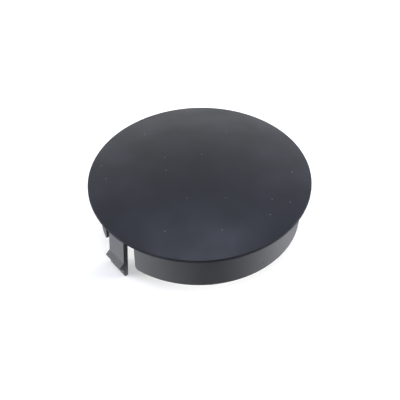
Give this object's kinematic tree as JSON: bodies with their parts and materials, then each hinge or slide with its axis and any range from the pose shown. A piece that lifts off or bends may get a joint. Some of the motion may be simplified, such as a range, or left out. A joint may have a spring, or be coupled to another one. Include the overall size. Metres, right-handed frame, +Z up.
{
  "type": "desk grommet cap",
  "caption": "Round domed blanking cap for a desktop cable hole, with a flange, a slotted skirt and opposed snap arms that clip under the desktop.",
  "frame": {"origin": "under the cap's centre, level with the tips of the snap arms; the flange's seat is 24 mm above it", "axes": "+Z up, out of the desk hole through the dome; -Y is the front; the snap arms face 54.2 degrees to the left of the front, and the opposite way"},
  "size_m": [0.088, 0.088, 0.0302],
  "materials": {
    "textured_plastic": "dark grey, fine matt moulded texture",
    "smooth_plastic": "dark grey, satin as moulded"
  },
  "bodies": {
    "cap": {"dome_panel": "textured_plastic", "seat_ring": "textured_plastic", "skirt_front": "smooth_plastic", "skirt_rear": "smooth_plastic", "gate_stub": "smooth_plastic", "arm_root_left": "smooth_plastic", "arm_root_right": "smooth_plastic"},
    "arm_left": {"snap_arm_left": "smooth_plastic", "catch_left": "smooth_plastic"},
    "arm_right": {"snap_arm_right": "smooth_plastic", "catch_right": "smooth_plastic"}
  },
  "joints": [
    {"name": "arm_left_bend", "type": "hinge", "parent": "cap", "child": "arm_left", "pos_m": [-0.03152, -0.02274, 0.02265], "axis": [0.585, -0.8111, 0], "range_deg": [0, 8.5], "stiffness_Nm_per_rad": 2},
    {"name": "arm_right_bend", "type": "hinge", "parent": "cap", "child": "arm_right", "pos_m": [0.03152, 0.02274, 0.02265], "axis": [-0.585, 0.8111, 0], "range_deg": [0, 8.5], "stiffness_Nm_per_rad": 2}
  ]
}
